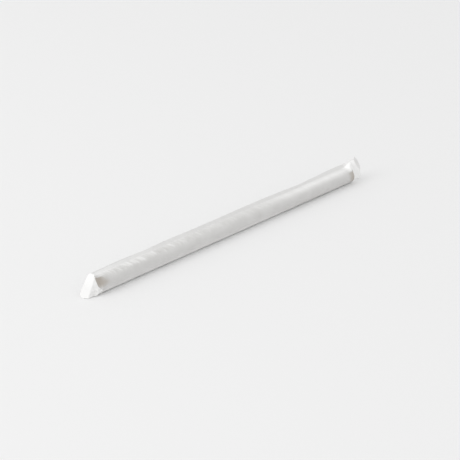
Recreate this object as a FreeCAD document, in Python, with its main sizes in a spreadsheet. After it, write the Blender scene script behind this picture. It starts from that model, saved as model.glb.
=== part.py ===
import FreeCAD, Part
import Sketcher
import os
from math import radians
from FreeCAD import Vector

# A drinking straw sealed in a thin paper wrapper, lying on a table.
# The wrapper is one paper web folded round the straw. Its two long edges are pressed
# together as a seam fin that stands up on the far side, and each end is pressed flat
# as a crimped strip. The left strip is bent back round an upright fold, the right one
# runs straight on. The pack is sealed, so wrapper and straw are one solid.
# Sizes are in millimetres and degrees. +X runs along the straw, +Y is the seam's side,
# +Z is up, and the origin is the middle of the pack's box on the table.

NODE = "wrapped_straw"

# Driving dimensions: alias, value, what it is
SIZES = [
    ("straw_diameter", 8.0, "outside of the straw"),
    ("straw_length", 197.0, "end to end"),
    ("paper_slack", 0.1, "paper wall and slack, on the radius"),
    ("rest_flat_width", 2.8, "flat where the paper lies on the table"),
    ("layers_thickness", 0.2, "two embossed paper layers pressed together"),
    ("seam_lift", 45.0, "seam fin above the horizontal"),
    ("seam_width", 2.0, "flat band where the two long edges meet"),
    ("web_reach", 1.3, "straw wrap to the root of the seam"),
    ("crimp_height", 12.7, "flattened tube, foot to top edge"),
    ("foot_clearance", 0.08, "foot of each crimped strip above the table"),
    ("left_foot_out", 8.5, "straw end to the foot of the left fold"),
    ("left_foot_side", -1.8, "foot of the left fold, sideways"),
    ("left_fold_lean", 24.0, "left fold, back towards the straw"),
    ("left_fold_tilt", 1.5, "left fold, towards the seam's side"),
    ("left_fold_turn", 74.0, "turn of the left strip round the fold"),
    ("left_crimp_length", 4.6, "left strip at its foot, fold to cut edge"),
    ("left_edge_lean", 5.0, "left cut edge, closing on the fold"),
    ("right_foot_out", 3.6, "straw end to the foot of the right strip"),
    ("right_foot_side", -1.9, "foot of the right strip, sideways"),
    ("right_crimp_roll", 63.0, "right strip above the horizontal"),
    ("right_crimp_length", 4.6, "right strip at its foot, inner line to cut edge"),
    ("right_edge_lean", 6.0, "right cut edge, outwards"),
]

# Where the corners of the round section land on the flattened one, as shares of its height
FAR_SIDE = "0.45"
NEAR_SIDE = "0.60"
SEAM_ROOT = "0.84"

WRAP_RADIUS = "(sizes.straw_diameter / 2 + sizes.paper_slack)"
SEAM_TIP = "(" + WRAP_RADIUS + " + sizes.web_reach + sizes.seam_width)"


def make_sheet(doc):
    sheet = doc.addObject("Spreadsheet::Sheet", "sizes")
    for row, (alias, value, note) in enumerate(SIZES, start=1):
        sheet.set(f"A{row}", alias)
        sheet.set(f"B{row}", str(value))
        sheet.set(f"C{row}", note)
        sheet.setAlias(f"B{row}", alias)
    doc.recompute()
    return sheet


def origin_plane(body, role):
    return [item for item in body.Origin.OriginFeatures if item.Role == role][0]


def attach(item, support, offsets):
    """Put a sketch or a datum plane on a support, with its offsets driven by the sheet."""
    item.AttachmentSupport = [(support, "")]
    item.MapMode = "FlatFace"
    for path, formula in offsets.items():
        item.setExpression("AttachmentOffset." + path, formula)


def drive(sketch, kind, elements, name, formula, start):
    """Add one sized constraint and tie it to the sheet."""
    index = sketch.addConstraint(Sketcher.Constraint(kind, *elements, start))
    sketch.renameConstraint(index, name)
    sketch.setExpression("Constraints." + name, formula)


def round_section(body, name, offsets):
    """The straw in its wrap: flat spot, far wrap, seam fin, near wrap, all in one closed line."""
    sketch = body.newObject("Sketcher::SketchObject", name)
    attach(sketch, origin_plane(body, "YZ_Plane"), offsets)
    size = {alias: value for alias, value, note in SIZES}
    radius = size["straw_diameter"] / 2 + size["paper_slack"]
    half_flat = size["rest_flat_width"] / 2
    height = (radius ** 2 - half_flat ** 2) ** 0.5
    centre = Vector(0, height, 0)
    along = FreeCAD.Rotation(Vector(0, 0, 1), size["seam_lift"]).multVec(Vector(1, 0, 0))
    across = Vector(-along.y, along.x, 0) * (size["layers_thickness"] / 2)
    root = centre + along * (radius + size["web_reach"])
    tip = root + along * size["seam_width"]
    reach = FreeCAD.Rotation(Vector(0, 0, 1), 40)
    upper_leave = centre + reach.multVec(along) * radius
    lower_leave = centre + reach.inverted().multVec(along) * radius
    foot_near = Vector(-half_flat, 0, 0)
    foot_far = Vector(half_flat, 0, 0)
    far_bulge = centre + Vector(radius, -radius, 0).normalize() * radius
    near_bulge = centre + Vector(-radius, 0, 0)

    lines = [
        Part.LineSegment(foot_near, foot_far),
        Part.Arc(foot_far, far_bulge, lower_leave),
        Part.LineSegment(lower_leave, root - across),
        Part.LineSegment(root - across, tip - across),
        Part.LineSegment(tip - across, tip + across),
        Part.LineSegment(tip + across, root + across),
        Part.LineSegment(root + across, upper_leave),
        Part.Arc(upper_leave, near_bulge, foot_near),
    ]
    flat, far_wrap, lower_web, lower_fin, cut, upper_fin, upper_web, near_wrap = [
        sketch.addGeometry(line, False) for line in lines
    ]
    axis = sketch.addGeometry(Part.LineSegment(centre, tip), True)

    # 1 is a line's start, 2 its end, 3 a circle's centre; -1 and -2 are the sketch axes
    joins = [
        ("Coincident", flat, 2, far_wrap, 1),
        ("Tangent", far_wrap, 2, lower_web, 1),
        ("Coincident", lower_web, 2, lower_fin, 1),
        ("Coincident", lower_fin, 2, cut, 1),
        ("Coincident", cut, 2, upper_fin, 1),
        ("Coincident", upper_fin, 2, upper_web, 1),
        ("Tangent", upper_web, 2, near_wrap, 1),
        ("Coincident", near_wrap, 2, flat, 1),
        ("Coincident", far_wrap, 3, near_wrap, 3),
        ("Equal", far_wrap, near_wrap),
        ("Coincident", axis, 1, near_wrap, 3),
        ("PointOnObject", axis, 1, -2),
        ("PointOnObject", flat, 1, -1),
        ("PointOnObject", flat, 2, -1),
        ("Symmetric", cut, 1, cut, 2, axis, 2),
        ("Perpendicular", axis, cut),
        ("Parallel", axis, lower_fin),
        ("Parallel", axis, upper_fin),
        ("Equal", lower_fin, upper_fin),
    ]
    for kind, *elements in joins:
        sketch.addConstraint(Sketcher.Constraint(kind, *elements))
    thickness = size["layers_thickness"]
    seam_tip = radius + size["web_reach"] + size["seam_width"]
    drive(sketch, "Radius", (near_wrap,), "wrap_radius", WRAP_RADIUS, radius)
    drive(sketch, "DistanceX", (flat, 1, flat, 2), "rest_flat", "sizes.rest_flat_width", 2 * half_flat)
    drive(sketch, "Distance", (axis,), "seam_tip", SEAM_TIP, seam_tip)
    drive(sketch, "Angle", (axis,), "seam_lift", "sizes.seam_lift * 1 deg", radians(size["seam_lift"]))
    drive(sketch, "Distance", (cut,), "layers", "sizes.layers_thickness", thickness)
    drive(sketch, "Distance", (lower_fin,), "seam_width", "sizes.seam_width", size["seam_width"])
    return sketch


def flat_section(body, name, support, offsets):
    """The tube pressed flat: a thin upright strip whose corners match those of the round section."""
    sketch = body.newObject("Sketcher::SketchObject", name)
    attach(sketch, support, offsets)
    size = {alias: value for alias, value, note in SIZES}
    half = size["layers_thickness"] / 2
    height = size["crimp_height"]
    levels = [
        (half, 0.0, None),
        (half, float(FAR_SIDE), FAR_SIDE),
        (half, float(SEAM_ROOT), SEAM_ROOT),
        (half, 1.0, "1"),
        (-half, 1.0, None),
        (-half, float(SEAM_ROOT), SEAM_ROOT),
        (-half, float(NEAR_SIDE), NEAR_SIDE),
        (-half, 0.0, None),
    ]
    points = [Vector(side, share * height, 0) for side, share, formula in levels]
    foot = sketch.addGeometry(Part.LineSegment(points[-1], points[0]), False)
    lines = [foot]
    for start, end in zip(points[:-1], points[1:]):
        lines.append(sketch.addGeometry(Part.LineSegment(start, end), False))

    for before, after in zip(lines, lines[1:] + lines[:1]):
        sketch.addConstraint(Sketcher.Constraint("Coincident", before, 2, after, 1))
    sketch.addConstraint(Sketcher.Constraint("Symmetric", foot, 1, foot, 2, -1, 1))
    sketch.addConstraint(Sketcher.Constraint("Horizontal", foot))
    sketch.addConstraint(Sketcher.Constraint("Horizontal", lines[4]))
    for upright in lines[1:4] + lines[5:8]:
        sketch.addConstraint(Sketcher.Constraint("Vertical", upright))
    drive(sketch, "Distance", (foot,), "layers", "sizes.layers_thickness", 2 * half)
    for line, (side, share, formula) in zip(lines, levels):
        if formula:
            label = "level_" + str(lines.index(line))
            level = "sizes.crimp_height * " + formula
            drive(sketch, "DistanceY", (-1, 1, line, 2), label, level, share * height)
    return sketch


def ruled_skin(body, name, first, following):
    """Straight paper from each section to the next."""
    loft = body.newObject("PartDesign::AdditiveLoft", name)
    loft.Profile = (first, [""])
    loft.Sections = [(sketch, [""]) for sketch in following]
    loft.Ruled = True
    return loft


def build_pack(doc):
    body = doc.addObject("PartDesign::Body", NODE)
    body.Label = NODE
    upright = origin_plane(body, "YZ_Plane")

    # Straw in its wrap
    left_round = round_section(body, "left_straw_end", {"Base.z": "-sizes.straw_length / 2"})
    wrapped_length = body.newObject("PartDesign::Pad", "wrapped_length")
    wrapped_length.Profile = (left_round, [""])
    wrapped_length.setExpression("Length", "sizes.straw_length")

    # Left end: pressed flat up to an upright fold, and bent back from there
    fold_plane = body.newObject("PartDesign::Plane", "left_fold_plane")
    attach(fold_plane, upright, {
        "Base.z": "-sizes.straw_length / 2 - sizes.left_foot_out",
        "Base.x": "sizes.left_foot_side",
        "Base.y": "sizes.foot_clearance",
        "Rotation.Roll": "sizes.left_fold_lean",
        "Rotation.Yaw": "-sizes.left_fold_tilt",
    })
    left_fold = flat_section(body, "left_fold", fold_plane, {
        "Rotation.Pitch": "-sizes.left_fold_turn / 2",
    })
    left_cut = flat_section(body, "left_cut_edge", fold_plane, {
        "Base.z": "-sizes.left_crimp_length * cos(sizes.left_fold_turn * 1 deg)",
        "Base.x": "sizes.left_crimp_length * sin(sizes.left_fold_turn * 1 deg)",
        "Rotation.Pitch": "-sizes.left_fold_turn",
        "Rotation.Roll": "sizes.left_edge_lean",
    })
    ruled_skin(body, "left_end", left_round, [left_fold, left_cut])

    # Right end: pressed flat and straight on
    right_round = round_section(body, "right_straw_end", {"Base.z": "sizes.straw_length / 2"})
    right_foot = {
        "Base.x": "sizes.right_foot_side",
        "Base.y": "sizes.foot_clearance",
        "Rotation.Yaw": "sizes.right_crimp_roll - 90",
    }
    inner_at = "sizes.straw_length / 2 + sizes.right_foot_out"
    right_inner = flat_section(body, "right_inner_line", upright, {"Base.z": inner_at, **right_foot})
    right_cut = flat_section(body, "right_cut_edge", upright, {
        "Base.z": inner_at + " + sizes.right_crimp_length",
        "Rotation.Roll": "sizes.right_edge_lean",
        **right_foot,
    })
    ruled_skin(body, "right_end", right_round, [right_inner, right_cut])

    # The middle of the pack's box stands on the origin
    left_tip = "sizes.left_foot_out + sizes.left_crimp_length * cos(sizes.left_fold_turn * 1 deg)"
    right_tip = "sizes.right_foot_out + sizes.right_crimp_length"
    right_top = "sizes.crimp_height * sin(sizes.right_edge_lean * 1 deg)"
    body.setExpression("Placement.Base.x", f"({left_tip} - ({right_tip} + {right_top})) / 2")
    seam_side = SEAM_TIP + " * cos(sizes.seam_lift * 1 deg)"
    body.setExpression("Placement.Base.y", f"({WRAP_RADIUS} - {seam_side}) / 2")
    return body


def check_state(doc):
    for item in doc.Objects:
        broken = [state for state in item.State if state in ("Invalid", "Error")]
        if broken:
            raise RuntimeError(f"{item.Name}: {broken}")


def main():
    doc = FreeCAD.newDocument("wrapped_straw")
    make_sheet(doc)
    pack = build_pack(doc)
    doc.recompute()
    check_state(doc)
    shape = pack.Shape
    if shape.isNull() or not shape.isValid() or len(shape.Solids) != 1:
        raise RuntimeError("the pack is not one valid solid")
    os.makedirs("parts", exist_ok=True)
    shape.exportStep(f"parts/{NODE}.step")
    box = shape.BoundBox
    print(NODE, "volume", round(shape.Volume, 1))
    print("x", round(box.XMin, 2), round(box.XMax, 2), "y", round(box.YMin, 2), round(box.YMax, 2))
    print("z", round(box.ZMin, 3), round(box.ZMax, 2))


main()
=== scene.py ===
import bmesh
import bpy
import math
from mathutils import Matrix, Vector, noise


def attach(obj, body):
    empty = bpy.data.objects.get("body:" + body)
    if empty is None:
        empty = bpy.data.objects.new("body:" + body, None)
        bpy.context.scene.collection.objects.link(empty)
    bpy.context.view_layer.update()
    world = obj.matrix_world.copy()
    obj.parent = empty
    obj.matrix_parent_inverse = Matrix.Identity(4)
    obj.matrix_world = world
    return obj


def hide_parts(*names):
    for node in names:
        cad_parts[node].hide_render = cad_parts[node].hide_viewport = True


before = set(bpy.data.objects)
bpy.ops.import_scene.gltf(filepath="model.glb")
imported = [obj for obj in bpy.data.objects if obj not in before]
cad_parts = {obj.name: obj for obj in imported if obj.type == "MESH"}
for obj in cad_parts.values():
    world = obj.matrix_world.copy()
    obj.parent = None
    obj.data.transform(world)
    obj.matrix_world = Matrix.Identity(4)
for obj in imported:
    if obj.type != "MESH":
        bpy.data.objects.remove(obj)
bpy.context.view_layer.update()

# The pack is drawn in millimetres: x along the straw, y towards the seam fin, z up, table at 0
millimetre = 0.001
straw = {
    "radius": 4.1,              # straw and the paper on it
    "halfLength": 98.5,
    "middle": (0.105, -0.566),  # from the middle of the pack's box
    "axisHeight": 3.9,
    "restHalf": 1.3,            # half the width that lies on the table
}
fin = {
    "lift": 45.0,               # degrees above the table
    "root": 5.4,                # from the straw's axis
    "thickness": 0.2,
    "sway": 0.30,               # how far the cut edge waves out of the fin's plane
    "swayLength": 14,
    # cut edge from the straw's axis, along the straw
    "reach": [(-98.5, 7.2), (-80, 7.5), (-60, 7.25), (-42, 7.5), (-20, 7.25), (10, 7.5),
              (35, 7.4), (50, 7.0), (60, 6.8), (70, 7.1), (90, 7.6), (98.5, 7.5)],
}
strip = {
    "height": 12.7,             # the tube pressed flat, foot to top
    "thickness": 0.2,
    "clearance": 0.08,          # foot above the table
    "pressRib": 0.02,           # height of the fine ribs that the press leaves
    "ribsLeft": 5, "ribsRight": 4,
}
leftStrip = {
    "footOut": 8.5,             # foot of the fold, out from the straw's end
    "footSide": -1.8,
    "lean": 24.0, "tilt": 1.5,  # the fold, back towards the straw and to the seam's side, in degrees
    "foldBow": 0.5,             # fold bowed towards the straw
    "footShare": 0.35,          # below this share of the height the strip bends down to the table
    "cutFacing": (-0.5, 0.85, 0.1),
    # by share of the height: turn round the fold in degrees, and length out to the cut edge
    "turns": [(0.0, 57), (0.15, 57), (0.3, 58), (0.45, 63), (0.6, 68), (0.86, 75), (1.0, 76)],
    "lengths": [(0.0, 2.7), (0.03, 3.8), (0.08, 4.5), (0.16, 4.75), (0.3, 4.65), (0.45, 4.45),
                (0.6, 4.25), (0.75, 4.0), (0.86, 3.75), (0.93, 3.4), (0.97, 2.9), (1.0, 2.0)],
}
# The open paper tube past the straw's left end
leftGusset = {
    # it is creased along this ridge: points by share of the height
    "ridge": [(0.0, (-103.6, -2.2, 0.12)), (0.12, (-100.7, -3.0, 0.9)), (0.26, (-98.9, -4.0, 2.6)),
              (0.38, (-100.0, -3.6, 4.0)), (0.5, (-101.0, -3.2, 5.2)), (0.64, (-101.7, -2.8, 7.4)),
              (0.76, (-102.0, -2.0, 9.4)), (0.86, (-101.5, -1.7, 10.6))],
    # its other sides, on the way from the fold to the straw's end
    "webShare": 0.40, "farShare": 0.45,
}
# The right strip, and which way it heads at each line, in degrees from the straw's own direction
rightStrip = {
    "inner": [(0.0, (102.6, 0.3, 0.08)), (0.35, (102.8, 1.3, 4.0)), (0.6, (103.7, 1.7, 7.0)),
              (0.8, (103.5, 2.5, 9.2)), (1.0, (103.1, 3.5, 11.2))],
    "innerHeading": -28,
    # its upper corner curls back from this bend
    "bend": [(0.0, (105.4, -1.3, 0.08)), (0.2, (106.2, -1.1, 2.2)), (0.45, (107.0, -0.9, 4.8)),
             (0.6, (106.4, 0.1, 6.6)), (0.8, (105.2, 1.15, 9.0)), (1.0, (104.9, 2.0, 12.0))],
    "bendHeading": -5,
    "cut": [(0.0, (106.4, -1.8, 0.08)), (0.2, (107.2, -1.5, 2.2)), (0.45, (108.2, -0.5, 4.6)),
            (0.6, (109.1, 0.95, 6.6)), (0.8, (108.6, 2.2, 9.5)), (1.0, (106.6, 3.0, 12.3))],
    "cutHeading": 17,
    "cutFacing": (1, 0, 0),
    # valley before the strip, on the way from the straw's end to the inner line
    "valleyShare": 0.5,
}

# Stretches of the section, going round: steps, and where each starts and ends on the flattened tube
stretches = {
    "flat": (4, 0.0, 0.0),
    "farWrap": (15, 0.0, 0.45),
    "lowerWeb": (4, 0.45, 0.84),
    "lowerFin": (5, 0.84, 1.0),
    "cut": (2, 1.0, 1.0),
    "upperFin": (6, 1.0, 0.93),
    "upperWeb": (6, 0.93, 0.86),
    "nearWrap": (32, 0.86, 0.0),
}
# Lines across the pack, left to right: steps up to the next one, and how far the corner is rounded
# before and after the line, as shares of the way to the next
crossLines = [
    ("leftCut", 22, 0, 0),
    ("leftFold", 24, 0.08, 0.12),
    ("leftRidge", 22, 0.10, 0.14),
    ("leftRim", 640, 0.3, 0),
    ("rightRim", 16, 0, 0.3),
    ("rightValley", 16, 0.25, 0.25),
    ("rightInner", 18, 0.2, 0.15),
    ("rightBend", 10, 0.12, 0.2),
    ("rightCut", 0, 0, 0),
]
placeOf = {line[0]: number for number, line in enumerate(crossLines)}
leftFold, leftRidge, leftRim = placeOf["leftFold"], placeOf["leftRidge"], placeOf["leftRim"]
rightRim, rightInner, rightBend = placeOf["rightRim"], placeOf["rightInner"], placeOf["rightBend"]


def blendTo(a, b, t):
    return a + (b - a) * t


def easeIn(t):
    t = min(1.0, max(0.0, t))
    return t * t * (3 - 2 * t)


def readAlong(table, x):
    # a smooth curve through the table's points
    x = min(table[-1][0], max(table[0][0], x))
    last = len(table) - 1
    i = next(k for k in range(last) if x <= table[k + 1][0])
    (x0, y0), (x1, y1) = table[i], table[i + 1]
    (xa, ya), (xb, yb) = table[max(i - 1, 0)], table[min(i + 2, last)]
    span, t = x1 - x0, (x - x0) / (x1 - x0)
    slope0, slope1 = (y1 - ya) / (x1 - xa), (yb - y0) / (xb - x0)
    return (y0 * (1 + 2 * t) * (1 - t) ** 2 + slope0 * (span * t * (1 - t) ** 2)
            + y1 * (3 - 2 * t) * t ** 2 - slope1 * (span * t ** 2 * (1 - t)))


def asLine(table):
    return [(share, Vector(point)) for share, point in table]


def goRound():
    # every point of the section: stretch, share of that stretch, share of the flattened height
    for name, (steps, start, end) in stretches.items():
        for step in range(steps):
            share = step / steps
            yield name, share, blendTo(start, end, share)


def roundSection(x):
    # the straw in its wrap, with the seam fin standing up on the far side
    lift = math.radians(fin["lift"])
    out = Vector((0, math.cos(lift), math.sin(lift)))
    over = Vector((0, -math.sin(lift), math.cos(lift)))
    centre = Vector((x, 0, straw["axisHeight"]))
    radius, root, reach = straw["radius"], fin["root"], readAlong(fin["reach"], x)
    half = fin["thickness"] / 2
    leave = math.acos(radius / root)
    footFar = math.atan2(-straw["axisHeight"], straw["restHalf"])
    footNear = math.pi - footFar
    sway = fin["sway"] * noise.noise(Vector((x / fin["swayLength"], 3.1, 0)))

    def onWrap(angle):
        return centre + radius * Vector((0, math.cos(angle), math.sin(angle)))

    def onFin(distance, side):
        return centre + out * distance + over * (side * half + sway * ((distance - root) / 2) ** 2)

    for name, share, level in goRound():
        if name == "flat":
            yield Vector((x, blendTo(-straw["restHalf"], straw["restHalf"], share), 0))
        elif name == "farWrap":
            yield onWrap(blendTo(footFar, lift - leave, share))
        elif name == "lowerWeb":
            yield onWrap(lift - leave).lerp(onFin(root, -1), share)
        elif name == "lowerFin":
            yield onFin(blendTo(root, reach, share), -1)
        elif name == "cut":
            yield onFin(reach, blendTo(-1, 1, share))
        elif name == "upperFin":
            yield onFin(blendTo(reach, root, share), 1)
        elif name == "upperWeb":
            yield onFin(root, 1).lerp(onWrap(lift + leave), share)
        else:
            yield onWrap(blendTo(lift + leave, footNear, share))


def pressedSection(pointAt, throughAt):
    # the tube pressed flat: a thin strip through the points given by share of its height
    half = strip["thickness"] / 2
    for name, share, level in goRound():
        side = 1 if name in ("farWrap", "lowerWeb", "lowerFin") else -1
        if name == "flat":
            side = blendTo(-1, 1, share)
        elif name == "cut":
            side = blendTo(1, -1, share)
        yield pointAt(level) + throughAt(level) * side * half


def leftLines():
    # cut edge and fold of the strip that is bent back on the left
    lean, tilt = math.radians(leftStrip["lean"]), math.radians(leftStrip["tilt"])
    rise = Vector((math.sin(lean), math.cos(lean) * math.sin(tilt), math.cos(lean) * math.cos(tilt)))
    sideways = Vector((0, math.cos(tilt), -math.sin(tilt)))
    onward = rise.cross(sideways).normalized()
    if onward.x > 0:
        onward = -onward
    footAlong = -straw["halfLength"] - leftStrip["footOut"]
    foot = Vector((footAlong, leftStrip["footSide"], strip["clearance"]))

    def foldAt(level):
        bow = leftStrip["foldBow"] * math.sin(math.pi * level)
        return foot + rise * strip["height"] * level + Vector((bow, 0, 0))

    def cutAt(level):
        turn = math.radians(readAlong(leftStrip["turns"], level))
        strap = onward * math.cos(turn) + sideways * math.sin(turn)
        strap.z *= easeIn(level / leftStrip["footShare"])
        return foldAt(level) + strap * readAlong(leftStrip["lengths"], level)

    def throughAt(share):
        def through(level):
            turn = math.radians(readAlong(leftStrip["turns"], level)) * share
            return sideways * math.cos(turn) - onward * math.sin(turn)
        return through

    return list(pressedSection(cutAt, throughAt(1))), list(pressedSection(foldAt, throughAt(0.5)))


def rightLines():
    # inner line, bend and cut edge of the strip that runs on at the right
    lines = []
    for name in ("inner", "bend", "cut"):
        line = asLine(rightStrip[name])
        heading = math.radians(rightStrip[name + "Heading"])
        rise = (line[-1][1] - line[0][1]).normalized()
        onward = Vector((math.cos(heading), math.sin(heading), 0))
        through = rise.cross(onward).normalized()
        if through.y < 0:
            through = -through
        lines.append(list(pressedSection(lambda level: readAlong(line, level), lambda level: through)))
    return lines


def leftRidgeLine(fold, rim):
    line = asLine(leftGusset["ridge"])
    for (name, share, level), a, b in zip(goRound(), fold, rim):
        if name == "nearWrap":
            yield readAlong(line, level)
        elif name == "upperWeb":
            yield a.lerp(b, leftGusset["webShare"]).lerp(line[-1][1], share)
        else:
            yield a.lerp(b, leftGusset["farShare"])


def rightValleyLine(rim, inner):
    for a, b in zip(rim, inner):
        yield a.lerp(b, rightStrip["valleyShare"])


creases = {
    # bunched paper across the root of the fin, strongest on the left
    "finRoot": 0.2, "finRootPitch": 1.5, "calmerFrom": -60, "calmerOver": 50, "calm": 0.3,
    "body": 0.05,               # soft unevenness of the wrap
    "bodyPitch": (9, 3, 3),
    "hollow": 0.5,              # dent in the open tube between the left ridge and the straw
    "gussetFoot": 0.85, "gussetTop": 0.16, "gussetPitch": 1.5,
    "rightEnd": 0.10, "rightEndPitch": 2.2,
    "leftStrip": 0.06, "leftStripPitch": 3.0,
}


def ribAt(name, share, level, x):
    # creases across the root of the fin, where the paper bunches against the straw
    if name == "upperWeb":
        band = easeIn(share / 0.4)
    elif name == "nearWrap":
        band = easeIn((level - 0.60) / 0.2)
    else:
        return 0.0
    calmer = easeIn((x - creases["calmerFrom"]) / creases["calmerOver"])
    ribbed = blendTo(1.0, creases["calm"], calmer) * easeIn((straw["halfLength"] - abs(x)) / 4)
    return ribbed * band * noise.noise(Vector((x / creases["finRootPitch"], level * 3, 11.0)))


def wrinkleAt(name, share, level, place, at):
    # paper standing off its plain shape, in millimetres along its outward normal
    rise = 0.0
    if leftRim <= place <= rightRim:
        fromEnds = easeIn((straw["halfLength"] - abs(at.x)) / 4)
        if name in ("upperWeb", "nearWrap", "farWrap"):
            along = Vector([size / pitch for size, pitch in zip(at, creases["bodyPitch"])])
            rise += creases["body"] * fromEnds * noise.noise(along)
        rise += creases["finRoot"] * ribAt(name, share, level, at.x)
    if leftFold < place < leftRim:
        hollow = math.sin(math.pi * max(0, place - leftRidge) ** 0.75) ** 2
        if name == "nearWrap":
            middle = easeIn((level - 0.34) / 0.25) * easeIn((0.86 - level) / 0.1)
            rise -= creases["hollow"] * hollow * middle
        if name in ("nearWrap", "flat"):
            crumple = easeIn((place - leftFold) / 0.3) * easeIn((leftRim - place) / 0.2)
            depth = blendTo(creases["gussetFoot"], creases["gussetTop"], easeIn((level - 0.25) / 0.2))
            rise += (depth * easeIn(level / 0.06) * crumple
                     * noise.noise(at / creases["gussetPitch"] + Vector((4.0, 0, 0))))
    if rightRim < place:
        crumple = easeIn((place - rightRim) / 0.3)
        rise += creases["rightEnd"] * crumple * noise.noise(at / creases["rightEndPitch"])
    if place < leftRidge:
        rise += creases["leftStrip"] * noise.noise(at / creases["leftStripPitch"])
    if place < leftFold:
        rise += strip["pressRib"] * math.sin(2 * math.pi * place * strip["ribsLeft"])
    elif place > rightInner:
        rise += strip["pressRib"] * math.sin(2 * math.pi * (place - rightRim) * strip["ribsRight"])
    return rise


# What lies behind the paper, with painted light and shade mixed in: 0 more white paper, then the
# straw, up to 1 for the dark of the open tube
behind = {
    "straw": 0.8,
    # the fin's layers, along the straw, greyed with painted shade as if the shade behind the thin
    # paper showed through; lighter on the left
    "layers": [(-98.5, 0.06), (-70, 0.28), (-30, 0.38), (20, 0.42), (98.5, 0.38)],
    "finEdgeShade": 0.52,
    "webLeft": 0.68, "webRight": 0.26, "webUnder": 0.70,
    # near side of the wrap by share of the height, on the left and on the right of the pack: the
    # straw's grey with painted light and shade, lighter low down where the table's bounced light
    # falls, and lighter at the top on the right
    "nearLeftShading": [(0.0, 0.50), (0.12, 0.42), (0.24, 0.48), (0.36, 0.72), (0.6, 0.74), (0.86, 0.68)],
    "nearRightShading": [(0.0, 0.50), (0.12, 0.58), (0.24, 0.72), (0.40, 0.76), (0.6, 0.70), (0.72, 0.48),
                  (0.86, 0.26)],
    "farSide": 0.76,
    "most": 0.82,               # round the straw, where it varies by "uneven"
    "uneven": 0.08,
    # dark of the open tube, also used for painted shadow and shade over the straw by the ends
    "darkLeftAndShadow": 1.0, "darkRightAndShade": 0.96,
    "leftFlap": 0.16, "rightFlap": 0.0, "rightFinShade": 0.22, "rightCurl": 0.34,
}


def tubeDarkAndShadowAt(backingAndShade, level, place, x):
    # past both ends of the straw the dark of the tube shows through; painted shadow: on the left the
    # flap's shadow is painted 8 to 12 mm in over the straw, and on the right painted shade darkens the
    # wrap's near side from 6 mm before the end
    end = straw["halfLength"]
    fade = blendTo(12.0, 8.0, easeIn((level - 0.3) / 0.5))
    dark = blendTo(0.12, 1.0, easeIn((level - 0.32) / 0.25)) * easeIn((0.93 - level) / 0.12)
    if place < rightRim:
        backingAndShade = blendTo(backingAndShade, behind["darkLeftAndShadow"], dark * (1 - easeIn((x + end) / fade)))
    # painted shade: the near side darkens towards the right end
    fromEnd = easeIn((x - end + 6.0) / 4.5)
    sides = easeIn((level - 0.12) / 0.1) * easeIn((0.70 - level) / 0.1)
    return blendTo(backingAndShade, behind["darkRightAndShade"], fromEnd * sides)


def backingAndShadeAt(name, share, level, place, x):
    right = easeIn((x - 15) / 45)   # blends to the right-hand tones and painted shading from x = 15 to 60 mm
    layers = readAlong(behind["layers"], x)
    if name == "cut":
        backingAndShade = layers
    elif name in ("upperFin", "lowerFin"):
        edge = 1 - share if name == "lowerFin" else share
        # painted shade: a darker line along the fin's cut edge
        backingAndShade = max(layers, behind["finEdgeShade"] * (1 - easeIn(edge / 0.4)))
    elif name == "upperWeb":
        web = blendTo(behind["webLeft"], behind["webRight"], right)
        backingAndShade = blendTo(layers, web, share ** (1 - 0.6 * (1 - right)))
    elif name == "lowerWeb":
        backingAndShade = blendTo(behind["webUnder"], layers, share)
    elif name == "nearWrap":
        onLeft, onRight = readAlong(behind["nearLeftShading"], level), readAlong(behind["nearRightShading"], level)
        backingAndShade = blendTo(onLeft, onRight, right)
    else:
        backingAndShade = behind["farSide"]
    if name in ("upperWeb", "nearWrap", "farWrap"):
        rib = ribAt(name, share, level, x)   # where the paper stands off the straw it is lighter
        cloud = behind["uneven"] * noise.noise(Vector((x / 7, level * 4, 5.0)))
        backingAndShade = min(behind["most"], backingAndShade + cloud - (0.5 if rib > 0 else 0.15) * rib)
    if name == "nearWrap":
        backingAndShade = tubeDarkAndShadowAt(backingAndShade, level, place, x)

    # the flattened ends are layers of paper with nothing behind them
    shown = easeIn((place - leftRidge + 0.02) / 0.06)
    if name in ("nearWrap", "upperWeb") and level > 0.60:
        top = easeIn((level - 0.64) / 0.1)
        shown *= 1 - top * easeIn((x - straw["halfLength"] + 3.0) / 2.0)
    flap = behind["leftFlap"] if place < rightRim else behind["rightFlap"]
    # painted shade on the fin past the straw's right end
    if place > rightRim and name in ("upperFin", "cut", "lowerFin"):
        flap = behind["rightFinShade"]
    if place > rightBend:   # the corner that curls back shows its shaded side
        flap = behind["rightCurl"] * easeIn((level - 0.40) / 0.15)
    return blendTo(flap, backingAndShade, shown * easeIn((rightRim + 0.85 - place) / 0.3))


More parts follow.
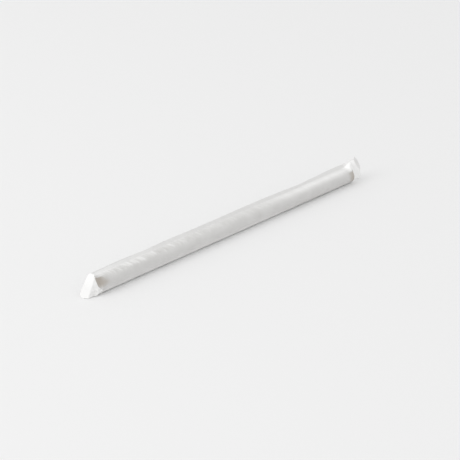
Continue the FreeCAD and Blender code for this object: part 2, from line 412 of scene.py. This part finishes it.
def buildWrapper():
    half = straw["halfLength"]
    cutLeft, foldLeft = leftLines()
    rimLeft, rimRight = list(roundSection(-half)), list(roundSection(half))
    inner, bend, cutRight = rightLines()
    lines = [cutLeft, foldLeft, list(leftRidgeLine(foldLeft, rimLeft)), rimLeft, rimRight,
             list(rightValleyLine(rimRight, inner)), inner, bend, cutRight]

    places = []
    for number, line in enumerate(crossLines):
        places += [number + step / line[1] for step in range(line[1])]
    places.append(len(lines) - 1)

    def paperPoint(place, j):
        corner = min(round(place), len(lines) - 2) or 1
        before, after = crossLines[corner][2:]
        start, end = corner - before, corner + after
        if start < place < end:
            a = lines[corner][j].lerp(lines[corner - 1][j], before)
            b = lines[corner][j].lerp(lines[corner + 1][j], after)
            t = (place - start) / (end - start)
            middle = lines[corner][j]
            return a.lerp(middle, t).lerp(middle.lerp(b, t), t)
        number = min(int(place), len(lines) - 2)
        return lines[number][j].lerp(lines[number + 1][j], place - number)

    kinds = list(goRound())
    count = len(kinds)
    rings = []
    for place in places:
        if leftRim <= place <= rightRim:
            rings.append(list(roundSection(blendTo(-half, half, place - leftRim))))
        else:
            rings.append([paperPoint(place, j) for j in range(count)])

    bm = bmesh.new()
    bmesh.ops.create_grid(bm, x_segments=count, y_segments=len(places) - 1, size=1.0)
    bm.verts.ensure_lookup_table()
    # tone behind the paper at each point, with painted light and shade in it
    backingAndShade = bm.verts.layers.float.new("strawToneAndShade")
    for row, place in enumerate(places):
        ring = rings[row]
        ringBefore, ringAfter = rings[max(row - 1, 0)], rings[min(row + 1, len(rings) - 1)]
        for column in range(count + 1):
            j = column % count
            vert = bm.verts[row * (count + 1) + column]
            around = ring[(j + 1) % count] - ring[j - 1]
            outward = around.cross(ringAfter[j] - ringBefore[j]).normalized()
            name, share, level = kinds[j]
            vert.co = ring[j] + outward * wrinkleAt(name, share, level, place, ring[j])
            vert.co.z = max(vert.co.z, 0.0)
            vert[backingAndShade] = backingAndShadeAt(name, share, level, place, ring[j].x)
    bmesh.ops.remove_doubles(bm, verts=bm.verts, dist=1e-4)
    openEnds = [e for e in bm.edges if e.is_boundary]
    for end in (leftStrip, rightStrip):   # close the cut edges
        facing = Vector(end["cutFacing"])
        edges = [e for e in openEnds if e.verts[0].co.x * facing.x > 0]
        bmesh.ops.triangle_fill(bm, use_beauty=True, use_dissolve=False, edges=edges, normal=facing)
    bmesh.ops.recalc_face_normals(bm, faces=bm.faces)
    bmesh.ops.translate(bm, verts=bm.verts, vec=(*straw["middle"], 0))
    bmesh.ops.scale(bm, verts=bm.verts, vec=(millimetre,) * 3)
    mesh = bpy.data.meshes.new("paper_wrapper")
    bm.to_mesh(mesh)
    bm.free()
    mesh.shade_smooth()
    piece = bpy.data.objects.new("paper_wrapper", mesh)
    bpy.context.scene.collection.objects.link(piece)
    print("paper wrapper:", len(mesh.polygons), "faces")
    return piece


wrapper = buildWrapper()
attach(wrapper, "root")
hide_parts("wrapped_straw")


def plainPaint(name, colour, roughness):
    paint = bpy.data.materials.new(name)
    paint.use_nodes = True
    shader = paint.node_tree.nodes["Principled BSDF"]
    shader.inputs["Base Color"].default_value = (*colour, 1)
    shader.inputs["Roughness"].default_value = roughness
    shader.inputs["Specular IOR Level"].default_value = 0.2   # matte
    return paint


paperFinish = {
    "white": (0.945, 0.943, 0.937),     # paper on paper
    "strawToneAndShade": (0.645, 0.64, 0.628),  # the straw shows grey through one layer
    "tubeDarkAndShadow": (0.49, 0.452, 0.408),   # the dark of the tube behind it, and the painted shadow next to it over the straw
    "roughness": 0.8,
    # uneven thickness of the sheet, in metres and tone
    "cloudSize": 0.004, "cloudDepth": 0.16, "cloudDetail": 4.0,
    # grain, in metres
    "fibreSize": 0.0004, "fibreHeight": 0.00002, "fibreDetail": 3.0,
}
paper = plainPaint("wrapperPaper", paperFinish["strawToneAndShade"], paperFinish["roughness"])
nodes, links = paper.node_tree.nodes, paper.node_tree.links
shader = nodes["Principled BSDF"]
placeOn = nodes.new("ShaderNodeTexCoord")
clouds = nodes.new("ShaderNodeTexNoise")
clouds.inputs["Scale"].default_value = 1 / paperFinish["cloudSize"]
clouds.inputs["Detail"].default_value = paperFinish["cloudDetail"]
cloudTone = nodes.new("ShaderNodeMapRange")
cloudTone.inputs["To Min"].default_value = -paperFinish["cloudDepth"] / 2
cloudTone.inputs["To Max"].default_value = paperFinish["cloudDepth"] / 2
# reads the tone behind the paper, which carries painted light and shade
over = nodes.new("ShaderNodeAttribute")
over.attribute_name = "strawToneAndShade"
together = nodes.new("ShaderNodeMath")   # what lies behind with its painted light and shade, plus the clouds
tone = nodes.new("ShaderNodeValToRGB")
tone.color_ramp.elements[0].color = (*paperFinish["white"], 1)
tone.color_ramp.elements[1].color = (*paperFinish["tubeDarkAndShadow"], 1)
tone.color_ramp.elements.new(behind["straw"]).color = (*paperFinish["strawToneAndShade"], 1)
fibres = nodes.new("ShaderNodeTexNoise")
fibres.inputs["Scale"].default_value = 1 / paperFinish["fibreSize"]
fibres.inputs["Detail"].default_value = paperFinish["fibreDetail"]
grain = nodes.new("ShaderNodeBump")
grain.inputs["Distance"].default_value = paperFinish["fibreHeight"]
links.new(placeOn.outputs["Object"], clouds.inputs["Vector"])
links.new(placeOn.outputs["Object"], fibres.inputs["Vector"])
links.new(clouds.outputs["Fac"], cloudTone.inputs["Value"])
links.new(over.outputs["Fac"], together.inputs[0])
links.new(cloudTone.outputs["Result"], together.inputs[1])
links.new(together.outputs["Value"], tone.inputs["Fac"])
links.new(tone.outputs["Color"], shader.inputs["Base Color"])
links.new(fibres.outputs["Fac"], grain.inputs["Height"])
links.new(grain.outputs["Normal"], shader.inputs["Normal"])
wrapper.data.materials.append(paper)
print("paper finish done")

# Table, light and camera
studio = {
    "tableColour": (0.87, 0.87, 0.87),
    "tableRoughness": 0.9,
    "tableHalf": 3.0,
    "skyStrength": 0.855,
    "keyPlace": (-2.2, 0.75, 1.15),
    "keySize": 1.5,
    "keyPower": 23.5,
}
bm = bmesh.new()
bmesh.ops.create_grid(bm, x_segments=1, y_segments=1, size=studio["tableHalf"])
mesh = bpy.data.meshes.new("table")
bm.to_mesh(mesh)
bm.free()
table = bpy.data.objects.new("table", mesh)
bpy.context.scene.collection.objects.link(table)
table.data.materials.append(plainPaint("paleTable", studio["tableColour"], studio["tableRoughness"]))

world = bpy.data.worlds.new("softSky")
bpy.context.scene.world = world
world.use_nodes = True
world.node_tree.nodes["Background"].inputs["Color"].default_value = (1, 1, 1, 1)
world.node_tree.nodes["Background"].inputs["Strength"].default_value = studio["skyStrength"]

keyData = bpy.data.lights.new("keyLight", "AREA")
keyData.shape = "SQUARE"
keyData.size = studio["keySize"]
keyData.energy = studio["keyPower"]
key = bpy.data.objects.new("keyLight", keyData)
key.location = studio["keyPlace"]
key.rotation_euler = (-Vector(studio["keyPlace"])).to_track_quat("-Z", "Y").to_euler()
bpy.context.scene.collection.objects.link(key)

camera = {
    "place": (-598.26, -566.78, 381.43),   # from the straw's middle
    "lookAt": (-4.5456, -2.5387, 4.1),
    "lens": 130.7, "sensor": 36.0,
    "clip": (0.05, 20),
}
cameraData = bpy.data.cameras.new("camera")
cameraData.lens = camera["lens"]
cameraData.sensor_width = camera["sensor"]
cameraData.clip_start, cameraData.clip_end = camera["clip"]
eye = bpy.data.objects.new("camera", cameraData)
shift = Vector((*straw["middle"], 0))
eye.location = (Vector(camera["place"]) + shift) * millimetre
looking = Vector(camera["lookAt"]) - Vector(camera["place"])
eye.rotation_euler = looking.to_track_quat("-Z", "Y").to_euler()
bpy.context.scene.collection.objects.link(eye)
bpy.context.scene.camera = eye
bpy.context.scene.view_settings.view_transform = "Standard"
print("table, light and camera done")
